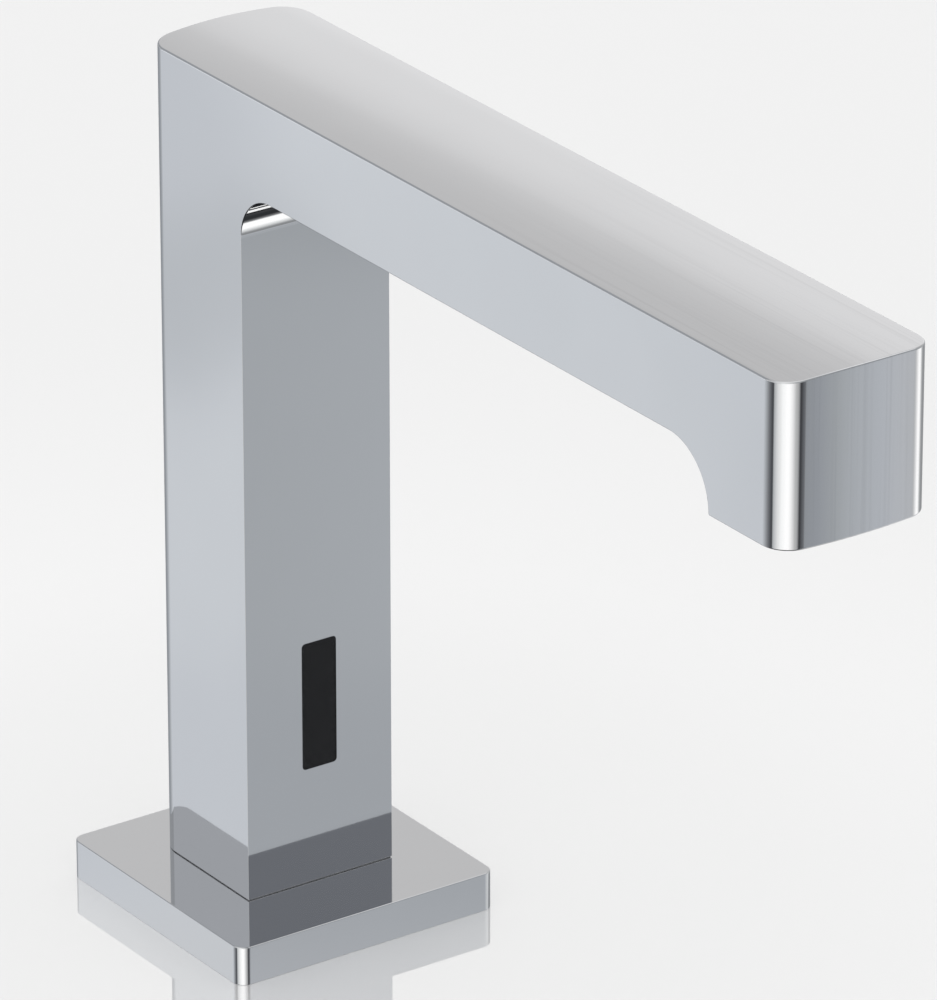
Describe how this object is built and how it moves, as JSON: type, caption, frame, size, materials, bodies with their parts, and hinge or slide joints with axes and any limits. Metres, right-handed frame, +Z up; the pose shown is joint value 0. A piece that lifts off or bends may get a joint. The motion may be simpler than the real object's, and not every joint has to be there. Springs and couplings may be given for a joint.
{
  "type": "sensor tap",
  "caption": "Chromed touch-free washbasin tap: square column on a flat plate, straight arm with a short dropped nose, dark sensor window in the column's front.",
  "frame": {"origin": "the column's axis on the surface of the deck that the tap stands on", "axes": "+Z up along the column, the arm and its spout point to -Y, +X to the right as seen by a person who stands in front of the basin, looking along +Y"},
  "size_m": [0.0604, 0.2155, 0.2392],
  "materials": {
    "chrome": "polished, mirror bright",
    "chromed_brass": "polished chrome on turned brass",
    "brass": "bare machined brass",
    "rubber": "matt black",
    "steel": "plain stainless steel",
    "window_black": "glossy black, lets infrared light through",
    "black_plastic": "matt black moulded plastic",
    "emitter_plastic": "clear violet lens",
    "board_green": "green solder mask",
    "valve_grey": "glass-filled dark grey plastic",
    "white_plastic": "natural white plastic",
    "copper": "enamelled copper wire"
  },
  "bodies": {
    "tap": {"body_shell": "chrome", "base_plate": "chrome", "deck_gasket": "rubber", "column_gasket": "rubber", "foot_block": "brass", "foot_screws": "steel", "threaded_shank": "brass", "sensor_window": "window_black", "window_gasket": "rubber", "sensor_housing": "black_plastic", "sensor_board": "board_green", "ir_emitter": "emitter_plastic", "ir_receiver": "black_plastic", "light_barrier": "black_plastic", "sensor_bracket": "steel", "bracket_screws": "steel", "inlet_filter": "steel", "cable_grommet": "rubber", "riser_tube": "white_plastic", "valve_body": "valve_grey", "valve_diaphragm": "rubber", "valve_bonnet": "valve_grey", "bonnet_screws": "steel", "armature_guide": "steel", "plunger_spring": "steel", "coil_bobbin": "white_plastic", "coil_winding": "copper", "coil_yoke": "steel", "coil_retainer": "steel", "coil_lead": "black_plastic", "outlet_tube": "white_plastic", "tube_o_rings": "rubber", "outlet_elbow": "white_plastic", "elbow_o_ring": "rubber"},
    "clamp": {"rubber_washer": "rubber", "clamp_washer": "steel"},
    "nut": {"shank_nut": "brass"},
    "seal": {"aerator_seal": "rubber"},
    "aerator": {"aerator_housing": "chromed_brass", "aerator_insert": "white_plastic", "aerator_screen": "steel"},
    "plunger": {"plunger": "steel"},
    "diaphragm": {"diaphragm_plate": "white_plastic"}
  },
  "joints": [
    {"name": "washer_rise", "type": "slide", "parent": "tap", "child": "clamp", "axis": [0, 0, 1], "range_m": [-0.0201, 0.0181]},
    {"name": "nut_turn", "type": "hinge", "parent": "clamp", "child": "nut", "pos_m": [0, 0, -0.03], "axis": [0, 0, 1], "range_deg": [-4800, 4320]},
    {"name": "aerator_drop", "type": "slide", "parent": "tap", "child": "seal", "axis": [0, 0, -1], "range_m": [0, 0.0071]},
    {"name": "aerator_turn", "type": "hinge", "parent": "seal", "child": "aerator", "pos_m": [0, -0.17645, 0.15], "axis": [0, 0, -1], "range_deg": [0, 2520]},
    {"name": "plunger_lift", "type": "slide", "parent": "tap", "child": "plunger", "axis": [0, 0, 1], "range_m": [0, 0.0015], "stiffness_N_per_m": 300, "springref_m": -0.005, "deforming": ["plunger_spring"]},
    {"name": "diaphragm_lift", "type": "slide", "parent": "tap", "child": "diaphragm", "axis": [0, 0, 1], "range_m": [0, 0.00125], "deforming": ["valve_diaphragm"]}
  ],
  "couplings": [
    {"joint": "washer_rise", "follows": "nut_turn", "m_per_rad": 0.00023873},
    {"joint": "aerator_drop", "follows": "aerator_turn", "m_per_rad": 0.00015915},
    {"joint": "diaphragm_lift", "follows": "plunger_lift", "ratio": 0.8}
  ]
}
